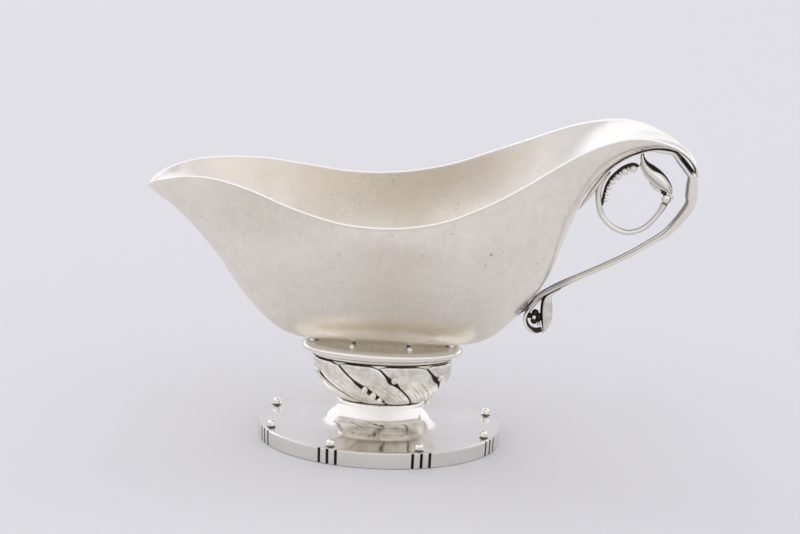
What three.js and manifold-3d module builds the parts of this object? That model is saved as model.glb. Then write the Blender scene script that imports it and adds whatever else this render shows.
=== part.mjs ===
// A silver pedestal sauce boat: a raised boat-shaped bowl on a leafed oval knop and a beaded foot,
// with a forged scroll handle. Millimetres, +Z up, standing on Z = 0, handle toward +X.
import * as THREE from "three";
import { mergeVertices } from "three/addons/utils/BufferGeometryUtils.js";
import Module from "manifold-3d";

const wasm = await Module();
wasm.setup();

// ---- driving dimensions ----
const GAP = 0.3; // solder joint between neighbouring pieces
const SHEET = 1.2; // bowl sheet
const FOOT_LENGTH = 92.6;
const FOOT_WIDTH = 78.8;
const BAND_HEIGHT = 6.2;
const BAND_WALL = 1.5;
const BAND_TAPER = 0.25; // the band draws in by this much at the table
const PLATE_SHEET = 1.0;
const GROOVE_GROUPS = 8;
const GROOVES_PER_GROUP = 3;
const GROOVE_PITCH = 3.2;
const GROOVE_WIDTH = 0.95;
const GROOVE_DEPTH = 0.6;
const FOOT_BEAD_RADIUS = 1.35;
const FOOT_BEAD_INSET = 2.7;
const NECK_TOP = 14.7;
const NECK_HALF_LENGTH = 15.6;
const NECK_HALF_WIDTH = 8.3;
const KNOP_BOTTOM = 15;
const KNOP_TOP = 32.6;
const KNOP_SHIFT = 0.5; // the knop sits this far toward the handle
const KNOP_ASPECT = 0.545; // width over length of the knop
const LEAF_THICKNESS = 1.1;
const LEAF_CROWN = 0.35; // rise of a leaf along its middle
const LEAF_MARGIN = 0.04; // bare core above and below a leaf, as a share of its height
const KNOP_LEAVES = 8;
const LEAF_TWIST = 0.165; // turn from a leaf's top to its foot, as a share of the way round
const FIRST_LEAF = 0.68; // share of the way round at which the first leaf tops out
const BERRY_RADIUS = 0.7;
// Heights of the berries in successive grooves, as a share of the knop.
const BERRY_SHARES = [0.75, 0.75, 0.75, 0.4];
const COLLAR_HALF_LENGTH = 30.8;
const COLLAR_HALF_WIDTH = 16.7;
const COLLAR_LIP = 36.8;
const COLLAR_BEADS = 8;
const COLLAR_BEAD_RADIUS = 0.8;
const COLLAR_BEAD_OVAL = [28.5, 14.2]; // half length and half width of the ring of beads
const COLLAR_BEAD_HEIGHT = 39.3;
const TENDRIL_BALL_RADIUS = 1.7;
const BOWL_SEAT = [0.2, 0.62]; // stretch of the bowl, from spout to handle, that the collar is fitted to

// ---- materials ----
function silver(color, roughness) {
  return new THREE.MeshStandardMaterial({ color, roughness, metalness: 1 });
}

// ---- solids ----
// Closed skin through rings with the same even number of points; both ends are folded shut.
function loft(rings) {
  const count = rings[0].length;
  const index = [];
  const quad = (a, b, c, d) => index.push(a, b, c, a, c, d);
  for (let r = 0; r < rings.length - 1; r++) {
    for (let i = 0; i < count; i++) {
      const next = (i + 1) % count;
      quad(r * count + i, r * count + next, (r + 1) * count + next, (r + 1) * count + i);
    }
  }
  const last = (rings.length - 1) * count;
  for (let i = 0; i < count / 2 - 1; i++) {
    quad(count - 1 - i, count - 2 - i, i + 1, i);
    quad(last + i, last + i + 1, last + count - 2 - i, last + count - 1 - i);
  }
  const geometry = new THREE.BufferGeometry().setFromPoints(rings.flat());
  geometry.setIndex(signedVolume(rings.flat(), index) < 0 ? index.reverse() : index);
  geometry.computeVertexNormals();
  return geometry;
}

function signedVolume(points, index) {
  let volume = 0;
  const normal = new THREE.Vector3();
  for (let i = 0; i < index.length; i += 3) {
    normal.crossVectors(points[index[i + 1]], points[index[i + 2]]);
    volume += points[index[i]].dot(normal) / 6;
  }
  return volume;
}

function toManifold(geometry) {
  const bare = geometry.clone();
  bare.deleteAttribute("normal");
  bare.deleteAttribute("uv");
  const merged = mergeVertices(bare, 1e-4);
  return new wasm.Manifold(
    new wasm.Mesh({
      numProp: 3,
      vertProperties: merged.attributes.position.array,
      triVerts: new Uint32Array(merged.index.array),
    }),
  );
}

function toGeometry(solid) {
  const mesh = solid.getMesh();
  const geometry = new THREE.BufferGeometry();
  geometry.setAttribute("position", new THREE.BufferAttribute(mesh.vertProperties, 3));
  geometry.setIndex(new THREE.BufferAttribute(mesh.triVerts, 1));
  geometry.computeVertexNormals();
  return geometry;
}

function ovalRing(halfLength, halfWidth, z, segments = 40) {
  return Array.from({ length: segments }, (_, i) => {
    const turn = (2 * Math.PI * i) / segments;
    return new THREE.Vector3(halfLength * Math.cos(turn), halfWidth * Math.sin(turn), z);
  });
}

// Stack of ovals given as [halfLength, halfWidth, z].
function ovalStack(levels, segments) {
  return loft(levels.map(([a, b, z]) => ovalRing(a, b, z, segments)));
}

// Smooth bar in the XZ plane through knots [x, z, halfThickness, halfWidth].
function forgedBar(knots, steps, sides = 8) {
  const path = new THREE.CatmullRomCurve3(knots.map(([x, z]) => new THREE.Vector3(x, 0, z)));
  const size = new THREE.CatmullRomCurve3(knots.map(([, , t, w]) => new THREE.Vector3(t, w, 0)));
  const across = new THREE.Vector3(0, 1, 0);
  const rings = [];
  for (let s = 0; s <= steps; s++) {
    const centre = path.getPoint(s / steps);
    const { x: thick, y: wide } = size.getPoint(s / steps);
    const normal = path.getTangent(s / steps).cross(across).normalize();
    rings.push(
      Array.from({ length: sides }, (_, i) => {
        const turn = (2 * Math.PI * (i + 0.5)) / sides;
        return centre
          .clone()
          .addScaledVector(normal, thick * Math.cos(turn))
          .addScaledVector(across, wide * Math.sin(turn));
      }),
    );
  }
  return loft(rings);
}

// The boat is laid out about the middle of its foot, then centred end to end in sauceBoat.
const sauceBoat = new THREE.Group();
sauceBoat.name = "sauce_boat";
const boat = new THREE.Group();
sauceBoat.add(boat);

function add(name, geometry, material, parent = boat) {
  const mesh = new THREE.Mesh(geometry, material);
  mesh.name = name;
  parent.add(mesh);
  return mesh;
}

function addBead(name, radius, position, material, parent = boat) {
  const bead = add(name, new THREE.SphereGeometry(radius, 10, 6), material, parent);
  bead.position.copy(position);
  return bead;
}

// ---- bowl ----
// Rim knots [x, halfWidth, z] and the keel knots [x, z] below them, spout to handle tip.
const RIM = [
  [-90.4, 0.8, 95.2],
  [-88.0, 5.6, 97.8],
  [-82.5, 10.4, 100.3],
  [-74.5, 13.6, 102.3],
  [-64.0, 18.0, 102.8],
  [-50.0, 26.0, 101.2],
  [-34.0, 34.4, 97.4],
  [-15.0, 40.0, 93.9],
  [4.0, 43.2, 94.0],
  [22.0, 44.4, 97.6],
  [38.0, 42.2, 104.0],
  [52.0, 36.4, 110.8],
  [64.0, 29.4, 117.2],
  [73.0, 24.2, 121.4],
  [82.0, 19.6, 124.2],
  [89.0, 16.0, 125.2],
  [96.0, 12.2, 124.5],
  [102.0, 8.8, 122.6],
  [107.5, 5.7, 119.9],
  [112.0, 3.5, 116.1],
  [114.8, 2.0, 112.0],
  [115.8, 0.8, 108.8],
];
const KEEL = [
  [-90.0, 94.0],
  [-87.3, 92.3],
  [-81.5, 88.3],
  [-73.0, 80.6],
  [-63.2, 69.2],
  [-51.5, 53.2],
  [-37.0, 41.2],
  [-18.0, 38.5],
  [2.0, 38.2],
  [22.0, 38.9],
  [39.0, 42.0],
  [51.0, 53.2],
  [60.6, 68.2],
  [67.3, 84.0],
  [73.6, 100.6],
  [81.0, 110.4],
  [89.7, 116.5],
  [97.5, 119.3],
  [104.8, 119.2],
  [110.2, 116.6],
  [113.6, 112.4],
  [114.9, 108.6],
];
const rimCurve = new THREE.CatmullRomCurve3(RIM.map(([x, w, z]) => new THREE.Vector3(x, w, z)));
const keelCurve = new THREE.CatmullRomCurve3(KEEL.map(([x, z]) => new THREE.Vector3(x, 0, z)));

// Point of the bowl's outside: u runs from spout to handle tip, v from rim (-1) to rim (1).
function bowlPoint(u, v) {
  const rim = rimCurve.getPoint(u);
  const keel = keelCurve.getPoint(u);
  const angle = (Math.abs(v) * Math.PI) / 2;
  const rise = 1 - Math.cos(angle);
  return new THREE.Vector3(
    keel.x + (rim.x - keel.x) * rise,
    Math.sign(v) * rim.y * Math.sin(angle),
    keel.z + (rim.z - keel.z) * rise,
  );
}

function bowlNormal(u, v) {
  const step = 1e-3;
  const low = Math.max(u - step, 0);
  const high = Math.min(u + step, 1);
  const left = Math.max(v - step, -1);
  const right = Math.min(v + step, 1);
  const along = bowlPoint(high, v).sub(bowlPoint(low, v));
  const around = bowlPoint(u, right).sub(bowlPoint(u, left));
  return along.cross(around).normalize();
}

function bowlSection(u, inset, sections = 16) {
  return Array.from({ length: sections + 1 }, (_, i) => {
    const v = -1 + (2 * i) / sections;
    return bowlPoint(u, v).addScaledVector(bowlNormal(u, v), inset);
  });
}

function bowlShell(stations = 44) {
  return loft(
    Array.from({ length: stations + 1 }, (_, s) => {
      const u = s / stations;
      const sheet = Math.min(SHEET, 0.15 + 0.35 * rimCurve.getPoint(u).y);
      return [...bowlSection(u, 0), ...bowlSection(u, sheet).reverse()];
    }),
  );
}

// The space the bowl fills, used to fit the collar to it.
function bowlEnvelope() {
  const rings = [];
  for (let u = BOWL_SEAT[0]; u < BOWL_SEAT[1]; u += 0.02) rings.push(bowlSection(u, -1.5 * GAP, 19));
  return loft(rings);
}

const bowlSilver = silver(0xcdc8c0, 0.3);
add("bowl", bowlShell(), bowlSilver);

// ---- collar between bowl and knop ----
const collarSilver = silver(0xc2bca6, 0.25);
const bowlSpace = toManifold(bowlEnvelope());
const collarLevels = [
  [26.8, 14.6, KNOP_TOP + GAP],
  [27.6, 15.1, COLLAR_LIP - 2.4],
  [29.4, 16.0, COLLAR_LIP - 1.3],
  [30.5, 16.6, COLLAR_LIP - 0.6],
  [COLLAR_HALF_LENGTH, COLLAR_HALF_WIDTH, COLLAR_LIP],
  [30.3, 16.3, COLLAR_LIP + 0.8],
  [28.8, 15.0, COLLAR_LIP + 1.5],
  [27.2, 13.5, COLLAR_LIP + 2.5],
  [25.6, 12.0, COLLAR_LIP + 3.8],
];
let collar = toManifold(ovalStack(collarLevels)).subtract(bowlSpace);

const collarBeadOval = new THREE.EllipseCurve(0, 0, ...COLLAR_BEAD_OVAL);
for (let i = 0; i < COLLAR_BEADS; i++) {
  const place = collarBeadOval.getPoint((i + 0.5) / COLLAR_BEADS);
  const bead = new THREE.SphereGeometry(COLLAR_BEAD_RADIUS, 8, 6);
  const seat = new THREE.SphereGeometry(COLLAR_BEAD_RADIUS + GAP, 8, 6);
  bead.translate(place.x, place.y, COLLAR_BEAD_HEIGHT);
  seat.translate(place.x, place.y, COLLAR_BEAD_HEIGHT);
  collar = collar.subtract(toManifold(seat));
  add("collar_bead_" + (i + 1), toGeometry(toManifold(bead).subtract(bowlSpace)), bowlSilver);
}
add("collar", toGeometry(collar), collarSilver);

// ---- knop: an oval core wrapped in slanting leaves ----
const knopDark = silver(0x4a453c, 0.5);
const knopSilver = silver(0xbdb5a2, 0.32);
// Half length of the finished knop at heights from bottom to top.
const KNOP_PROFILE = [
  [15.6, KNOP_BOTTOM + 0.4],
  [18.6, 17.1],
  [21.2, 19.5],
  [23.4, 22.1],
  [25.2, 25.0],
  [26.3, 28.4],
  [26.6, KNOP_TOP - 0.4],
];
const knopCurve = new THREE.SplineCurve(KNOP_PROFILE.map(([r, z]) => new THREE.Vector2(r, z)));

function coreLevel(share) {
  const level = knopCurve.getPoint(share);
  return [level.x - LEAF_THICKNESS, level.x * KNOP_ASPECT - LEAF_THICKNESS, level.y];
}
const coreLevels = Array.from({ length: 9 }, (_, i) => coreLevel(i / 8));
const [footHalfLength, footHalfWidth] = coreLevels[0];
coreLevels.unshift([footHalfLength - 0.9, footHalfWidth - 0.4, KNOP_BOTTOM]);
const [topHalfLength, topHalfWidth] = coreLevels.at(-1);
coreLevels.push([topHalfLength - 0.9, topHalfWidth - 0.8, KNOP_TOP]);
const knop = new THREE.Group();
knop.position.x = KNOP_SHIFT;
boat.add(knop);
add("knop_core", ovalStack(coreLevels), knopDark, knop);

// Point on the knop at share `around` of the way round, `lift` outside the core.
function knopPoint(around, share, lift) {
  const [a, b, z] = coreLevel(share);
  const place = new THREE.EllipseCurve(0, 0, a + lift, b + lift).getPointAt(around - Math.floor(around));
  return new THREE.Vector3(place.x, place.y, z);
}

function knopLeaf(start) {
  const rows = 9;
  const columns = 5;
  return loft(
    Array.from({ length: rows + 1 }, (_, r) => {
      const share = LEAF_MARGIN + ((1 - 2 * LEAF_MARGIN) * r) / rows;
      const middle = start + LEAF_TWIST * (1 - share);
      const half = (0.44 - 0.08 * (1 - share)) / KNOP_LEAVES;
      const face = (lift, crown) =>
        Array.from({ length: columns + 1 }, (_, c) => {
          const side = (2 * c) / columns - 1;
          return knopPoint(middle + side * half, share, lift + crown * (1 - side * side));
        });
      const edge = LEAF_THICKNESS - GAP;
      return [...face(edge, LEAF_CROWN), ...face(1.6 * GAP, 0).reverse()];
    }),
  );
}

for (let i = 0; i < KNOP_LEAVES; i++) {
  const start = FIRST_LEAF + i / KNOP_LEAVES;
  add("knop_leaf_" + (i + 1), knopLeaf(start), knopSilver, knop);
  const share = BERRY_SHARES[i % BERRY_SHARES.length];
  const groove = start + 0.5 / KNOP_LEAVES + LEAF_TWIST * (1 - share);
  const seat = knopPoint(groove, share, GAP + BERRY_RADIUS);
  addBead("knop_berry_" + (i + 1), BERRY_RADIUS, seat, knopSilver, knop);
}

// ---- neck and foot ----
const footSilver = silver(0xd9d6d2, 0.15);
// Steep oval under the knop, opening to a thin skirt on the plate.
const neckLevels = [
  [28.2, 22.0, BAND_HEIGHT + GAP],
  [26.0, 17.8, BAND_HEIGHT + 0.7],
  [23.4, 14.6, BAND_HEIGHT + 1.3],
  [20.8, 12.3, BAND_HEIGHT + 2.6],
  [18.6, 10.7, BAND_HEIGHT + 4.6],
  [16.9, 9.4, BAND_HEIGHT + 6.7],
  [NECK_HALF_LENGTH, NECK_HALF_WIDTH, NECK_TOP],
];
add("neck", ovalStack(neckLevels), footSilver);

function footLevel(inset, z) {
  return [FOOT_LENGTH / 2 - inset, FOOT_WIDTH / 2 - inset, z];
}
const FOOT_SEGMENTS = 96;
const plateInset = BAND_WALL + GAP;
const plateLevels = [footLevel(plateInset, BAND_HEIGHT - PLATE_SHEET), footLevel(plateInset, BAND_HEIGHT)];
add("foot_plate", ovalStack(plateLevels, FOOT_SEGMENTS), footSilver);

function footRimBand() {
  const outside = ovalStack([footLevel(BAND_TAPER, 0), footLevel(0, BAND_HEIGHT)], FOOT_SEGMENTS);
  const core = [footLevel(BAND_WALL, -1), footLevel(BAND_WALL, BAND_HEIGHT + 1)];
  const inside = ovalStack(core, FOOT_SEGMENTS);
  let band = toManifold(outside).subtract(toManifold(inside));
  const cutter = new THREE.BoxGeometry(2 * GROOVE_DEPTH, GROOVE_WIDTH, BAND_HEIGHT + 1);
  const edge = new THREE.EllipseCurve(0, 0, FOOT_LENGTH / 2, FOOT_WIDTH / 2);
  const perimeter = edge.getLength();
  for (let group = 0; group < GROOVE_GROUPS; group++) {
    for (let line = 0; line < GROOVES_PER_GROUP; line++) {
      const shift = ((line - (GROOVES_PER_GROUP - 1) / 2) * GROOVE_PITCH) / perimeter;
      const share = (group + 0.5) / GROOVE_GROUPS + shift;
      const place = edge.getPoint(share);
      const tangent = edge.getTangent(share);
      const groove = cutter.clone();
      groove.rotateZ(Math.atan2(-tangent.x, tangent.y));
      groove.translate(place.x, place.y, BAND_HEIGHT / 2);
      band = band.subtract(toManifold(groove));
    }
  }
  return toGeometry(band);
}
add("foot_rim_band", footRimBand(), footSilver);

const beadEdge = new THREE.EllipseCurve(
  0,
  0,
  FOOT_LENGTH / 2 - FOOT_BEAD_INSET,
  FOOT_WIDTH / 2 - FOOT_BEAD_INSET,
);
for (let i = 0; i < GROOVE_GROUPS; i++) {
  const place = beadEdge.getPoint((i + 0.5) / GROOVE_GROUPS);
  const seat = new THREE.Vector3(place.x, place.y, BAND_HEIGHT + GAP + FOOT_BEAD_RADIUS);
  addBead("foot_bead_" + (i + 1), FOOT_BEAD_RADIUS, seat, footSilver);
}

// ---- handle ----
// Bars are knots [x, z, halfThickness, halfWidth]; the bowl's own sheet forms the channel above the strap.
const handleSilver = silver(0xcfcabf, 0.25);
const handleDark = silver(0x5c564a, 0.45);
const handle = new THREE.Group();
boat.add(handle);

const STRAP = [
  [72.2, 93.4, 0.2, 0.6],
  [74.4, 97.6, 0.7, 1.8],
  [77.1, 102.3, 1.0, 2.6],
  [80.1, 107.0, 0.8, 2.8],
  [83.2, 110.8, 0.5, 2.8],
  [86.7, 113.6, 0.45, 2.8],
  [90.3, 115.7, 0.45, 2.8],
  [94.0, 117.2, 0.45, 2.8],
  [97.4, 118.2, 0.5, 2.8],
  [100.8, 118.1, 0.85, 2.8],
  [104.6, 117.8, 0.9, 2.8],
  [107.0, 116.4, 1.0, 2.8],
  [108.9, 114.5, 1.3, 2.9],
  [110.8, 111.6, 1.5, 3.0],
  [112.6, 107.8, 1.6, 3.0],
  [113.5, 104.0, 2.2, 3.0],
  [113.7, 99.5, 2.05, 3.0],
  [112.1, 95.4, 1.85, 2.9],
  [109.6, 91.4, 1.65, 2.8],
  [106.0, 87.6, 1.35, 2.6],
  [100.3, 83.0, 1.15, 2.4],
  [91.8, 77.4, 1.05, 2.2],
  [82.0, 72.0, 1.0, 2.1],
  [73.0, 67.2, 1.0, 2.0],
  [65.5, 63.3, 0.95, 2.0],
  [61.3, 60.9, 0.6, 1.9],
  [58.2, 58.6, 0.3, 1.6],
];
add("handle_strap", forgedBar(STRAP, 66), handleSilver, handle);

const TENDRIL = [
  [81.3, 106.0, 0.25, 0.6],
  [80.2, 104.0, 0.55, 0.8],
  [79.2, 101.3, 0.8, 1.0],
  [78.8, 98.0, 0.85, 1.0],
  [80.2, 92.3, 0.9, 1.0],
  [84.0, 87.6, 0.95, 1.0],
  [89.9, 85.3, 0.95, 1.0],
  [95.1, 86.9, 0.95, 1.0],
  [98.9, 90.0, 0.9, 1.0],
  [101.8, 94.0, 0.85, 1.0],
  [103.2, 97.1, 0.8, 0.9],
];
add("tendril_ring", forgedBar(TENDRIL, 30), handleSilver, handle);

// Graduated beads inside the tendril, [x, z, radius].
const TENDRIL_BEADS = [
  [81.7, 97.9, 0.7],
  [82.0, 100.1, 0.76],
  [82.6, 102.5, 0.84],
  [83.8, 104.9, 1.0],
  [85.8, 107.3, 1.12],
  [88.4, 109.3, 1.2],
  [91.5, 110.4, 1.25],
];
const TENDRIL_MIDDLE = [91.2, 98.4];
const BAR_SIDE = 0.45; // least half thickness of the bar that carries the beads

// Scalloped bar round the outside of the beads, with a seat for each.
function beadBar() {
  const knots = TENDRIL_BEADS.map(([x, z, radius]) => {
    const outward = new THREE.Vector2(x - TENDRIL_MIDDLE[0], z - TENDRIL_MIDDLE[1]).setLength(radius);
    return [x + outward.x, z + outward.y, BAR_SIDE + 0.3 * radius, 0.7 * radius];
  });
  knots.unshift([80.8, 96.0, 0.25, 0.4]);
  knots.push([92.8, 111.6, 0.3, 0.6]);
  let bar = toManifold(forgedBar(knots, 32));
  for (const [x, z, radius] of TENDRIL_BEADS) {
    const seat = new THREE.SphereGeometry(radius + GAP, 10, 6);
    bar = bar.subtract(toManifold(seat.translate(x, 0, z)));
  }
  return toGeometry(bar);
}
add("tendril_bead_bar", beadBar(), handleDark, handle);
TENDRIL_BEADS.forEach(([x, z, radius], i) => {
  addBead("tendril_bead_" + (i + 1), radius, new THREE.Vector3(x, 0, z), handleSilver, handle);
});
addBead("tendril_ball", TENDRIL_BALL_RADIUS, new THREE.Vector3(104.2, 0, 99.7), handleSilver, handle);

const CALYX = [
  [105.9, 101.9, 0.5, 0.7],
  [104.6, 103.5, 1.5, 1.5],
  [102.5, 105.4, 2.4, 2.0],
  [100.1, 107.5, 2.75, 2.2],
  [97.7, 109.6, 2.6, 2.1],
  [95.7, 112.1, 1.7, 1.7],
  [94.7, 114.5, 0.8, 1.2],
  [94.5, 116.2, 0.4, 0.7],
];
add("tendril_calyx", forgedBar(CALYX, 24), handleSilver, handle);
const CALYX_LEAF = [
  [97.9, 104.8, 0.2, 0.5],
  [99.8, 103.2, 0.45, 0.9],
  [101.6, 102.0, 0.2, 0.5],
];
add("tendril_leaf", forgedBar(CALYX_LEAF, 8), handleSilver, handle);

// Scroll, leaf and berries where the strap meets the bowl.
const SCROLL = [
  [60.2, 58.9, 0.3, 1.5],
  [57.4, 56.6, 0.45, 1.7],
  [55.2, 53.3, 0.55, 1.8],
  [54.4, 49.8, 0.6, 1.8],
  [55.5, 46.7, 0.65, 1.8],
  [58.0, 45.3, 0.6, 1.7],
  [60.0, 45.9, 0.3, 1.4],
];
add("volute_scroll", forgedBar(SCROLL, 24), handleSilver, handle);
const VOLUTE_LEAF = [
  [65.2, 60.9, 0.15, 0.5],
  [62.9, 59.6, 0.6, 1.4],
  [61.5, 57.0, 1.5, 2.1],
  [61.4, 53.6, 2.0, 2.4],
  [61.6, 50.2, 1.8, 2.2],
  [61.5, 47.4, 0.9, 1.6],
  [61.2, 45.2, 0.15, 0.5],
];
add("volute_leaf", forgedBar(VOLUTE_LEAF, 20), handleSilver, handle);

const CLUSTER_MIDDLE = [57.2, 51.2];
const CLUSTER_RADIUS = 1.15;
const CLUSTER_BERRIES = 6;
function berryCluster() {
  const [x, z] = CLUSTER_MIDDLE;
  const berry = new THREE.SphereGeometry(0.72, 8, 6);
  let cluster = toManifold(new THREE.SphereGeometry(CLUSTER_RADIUS, 10, 8).translate(x, 0, z));
  for (let i = 0; i < CLUSTER_BERRIES; i++) {
    const turn = (2 * Math.PI * i) / CLUSTER_BERRIES;
    const seat = [x + CLUSTER_RADIUS * Math.cos(turn), 0, z + CLUSTER_RADIUS * Math.sin(turn)];
    cluster = cluster.add(toManifold(berry.clone().translate(...seat)));
  }
  return toGeometry(cluster);
}
add("volute_berries", berryCluster(), handleDark, handle);
addBead("volute_bead", 0.6, new THREE.Vector3(58.2, 0, 48.4), handleSilver, handle);

const TAB = [
  [55.6, 56.8, 0.2, 1.9],
  [53.0, 53.4, 0.25, 2.3],
  [50.6, 50.2, 0.2, 0.6],
];
add("solder_tab", forgedBar(TAB, 8), handleSilver, handle);

const middle = new THREE.Box3().setFromObject(boat).getCenter(new THREE.Vector3());
boat.position.set(-middle.x, -middle.y, 0);

export default sauceBoat;
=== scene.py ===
"""Silver pedestal sauce boat in a pale studio.

Knots and sizes are in millimetres about the middle of the foot, as in the CAD;
place() turns them into metres.
"""
import math

import bmesh
import bpy
import numpy as np
from mathutils import Matrix, Vector, noise


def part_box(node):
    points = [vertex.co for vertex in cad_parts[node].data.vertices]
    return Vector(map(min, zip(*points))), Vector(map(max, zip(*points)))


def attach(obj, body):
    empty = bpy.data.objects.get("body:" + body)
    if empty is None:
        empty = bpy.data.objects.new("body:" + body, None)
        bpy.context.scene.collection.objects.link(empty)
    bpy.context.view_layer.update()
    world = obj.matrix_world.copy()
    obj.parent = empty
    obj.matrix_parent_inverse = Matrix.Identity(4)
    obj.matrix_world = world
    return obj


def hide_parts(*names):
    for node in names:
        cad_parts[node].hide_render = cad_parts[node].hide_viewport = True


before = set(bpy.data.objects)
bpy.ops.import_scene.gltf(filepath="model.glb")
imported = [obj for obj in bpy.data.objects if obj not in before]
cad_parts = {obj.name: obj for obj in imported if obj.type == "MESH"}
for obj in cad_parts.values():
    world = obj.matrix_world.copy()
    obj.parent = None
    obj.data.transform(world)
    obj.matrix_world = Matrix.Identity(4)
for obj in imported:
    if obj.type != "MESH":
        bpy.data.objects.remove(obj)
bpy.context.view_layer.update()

# ---- the frame ----
PLATE_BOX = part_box("foot_plate")
FOOT_X = (PLATE_BOX[0][0] + PLATE_BOX[1][0]) / 2

# ---- driving dimensions, mm ----
SHEET = 1.2
FOOT_HALF_LENGTH = 46.3
FOOT_HALF_WIDTH = 39.4
BAND_HEIGHT = 6.2
BAND_WALL = 1.5
BAND_TAPER = 0.25
GROUPS = 8
GROOVE_PITCH = 3.2
GROOVE_WIDTH = 0.95
GROOVE_DEPTH = 0.5
PILLOW_RISE = 0.22
PLATE_RISE = 1.3
FOOT_BEAD_RADIUS = 1.6
FOOT_BEAD_INSET = 2.7
KNOP_ASPECT = 0.545
KNOP_SHIFT = 0.5
KNOP_LEAVES = 8
LEAF_TWIST = 0.165
FIRST_LEAF = 0.68
LEAF_HALF = 0.4875 / KNOP_LEAVES
LEAF_THICKNESS = 1.1


def place(points):
    """Millimetres about the foot to metres in the frame."""
    return np.asarray(points, float) / 1000 + np.array([FOOT_X, 0, 0])


def catmull_rom(knots, t):
    """Centripetal Catmull-Rom curve through the knots at each t in 0..1."""
    k = np.asarray(knots, float)
    k = np.vstack([2 * k[0] - k[1], k, 2 * k[-1] - k[-2]])
    t = np.clip(np.atleast_1d(t), 0, 1) * (len(k) - 3)
    i = np.minimum(t.astype(int), len(k) - 4)
    w = (t - i)[:, None]
    p0, p1, p2, p3 = k[i], k[i + 1], k[i + 2], k[i + 3]
    d0, d1, d2 = (np.sqrt(np.linalg.norm(b - a, axis=1))[:, None] for a, b in ((p0, p1), (p1, p2), (p2, p3)))
    m1 = ((p1 - p0) / d0 - (p2 - p0) / (d0 + d1) + (p2 - p1) / d1) * d1
    m2 = ((p2 - p1) / d1 - (p3 - p1) / (d1 + d2) + (p3 - p2) / d2) * d1
    return p1 + m1 * w + (3 * (p2 - p1) - 2 * m1 - m2) * w**2 + (2 * (p1 - p2) + m1 + m2) * w**3


def smooth_step(x):
    x = np.clip(x, 0, 1)
    return x * x * (3 - 2 * x)


# ---- materials ----
# Noise scales, per metre of the frame.
CLOUD_SCALE = 38
HAMMER_SCALE = 150
MOTTLE_SCALE = 270
SCRATCH_SCALE = 300
PIT_SCALE = 420
SCRATCH_STRETCH = (1.0, 1.0, 6.0)
PIT_TONE = (0.12, 0.10, 0.08)
MOTTLE_TONE = 0.78
BUMP_STRENGTH = 0.25
BUMP_DISTANCE = 0.0002
# The mesh attributes that tint the metal, in the order they are laid on: olive for patina and painted dark
# reflections, near white for a brighter rim and painted light, near black for tarnish and painted shade. The
# near black one is also rougher.
LAYER_TONES = {
    "patina_and_painted_reflection": (0.52, 0.46, 0.34),
    "light_rim_and_painted_light": (0.99, 0.975, 0.965),
    "tarnish_and_painted_shade": (0.030, 0.026, 0.020),
}
TARNISH_ROUGHNESS = 0.35


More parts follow.
